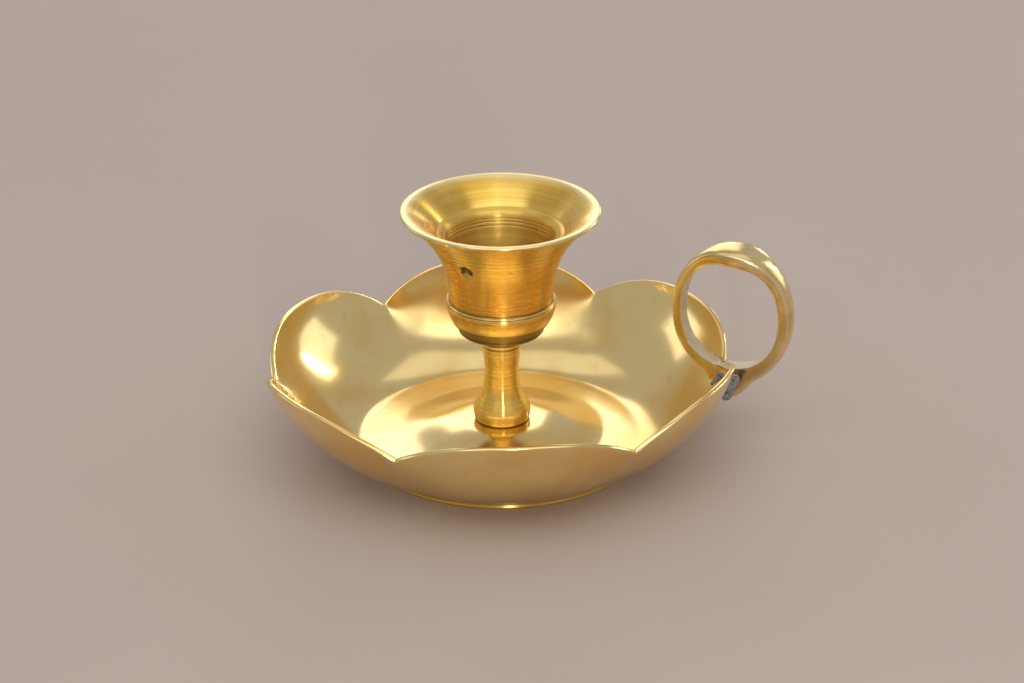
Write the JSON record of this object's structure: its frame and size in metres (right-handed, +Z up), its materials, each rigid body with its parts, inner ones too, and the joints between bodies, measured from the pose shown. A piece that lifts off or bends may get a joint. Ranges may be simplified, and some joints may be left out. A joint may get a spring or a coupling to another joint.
{
  "type": "chamber candlestick",
  "caption": "Brass chamber candlestick: flared candle cup on a short turned stem over a lobed drip pan with a foot ring, and a finger ring handle soldered to the rim.",
  "frame": {"origin": "middle of the whole outline, on the table under the foot ring", "axes": "+X towards the ring handle, +Z up along the stem"},
  "size_m": [0.1204, 0.108, 0.0585],
  "materials": {
    "pan_brass": "polished pressed sheet brass with fine rubbing marks and light tarnish in the creases",
    "foot_brass": "turned brass, worn bright along its edge",
    "turned_brass": "turned and polished brass with fine tool rings",
    "cast_brass": "cast brass, filed outside, rough inside the finger hole",
    "solder_grey": "dull lead-tin solder, lumpy and pitted",
    "screw_steel": "old steel screw and washer, slightly darkened"
  },
  "bodies": {
    "root": {"drip_pan": "pan_brass", "foot_ring": "foot_brass", "stem": "turned_brass", "candle_cup": "turned_brass", "base_washer": "screw_steel", "base_screw": "screw_steel", "ring_handle": "cast_brass", "handle_solder": "solder_grey"}
  },
  "joints": []
}
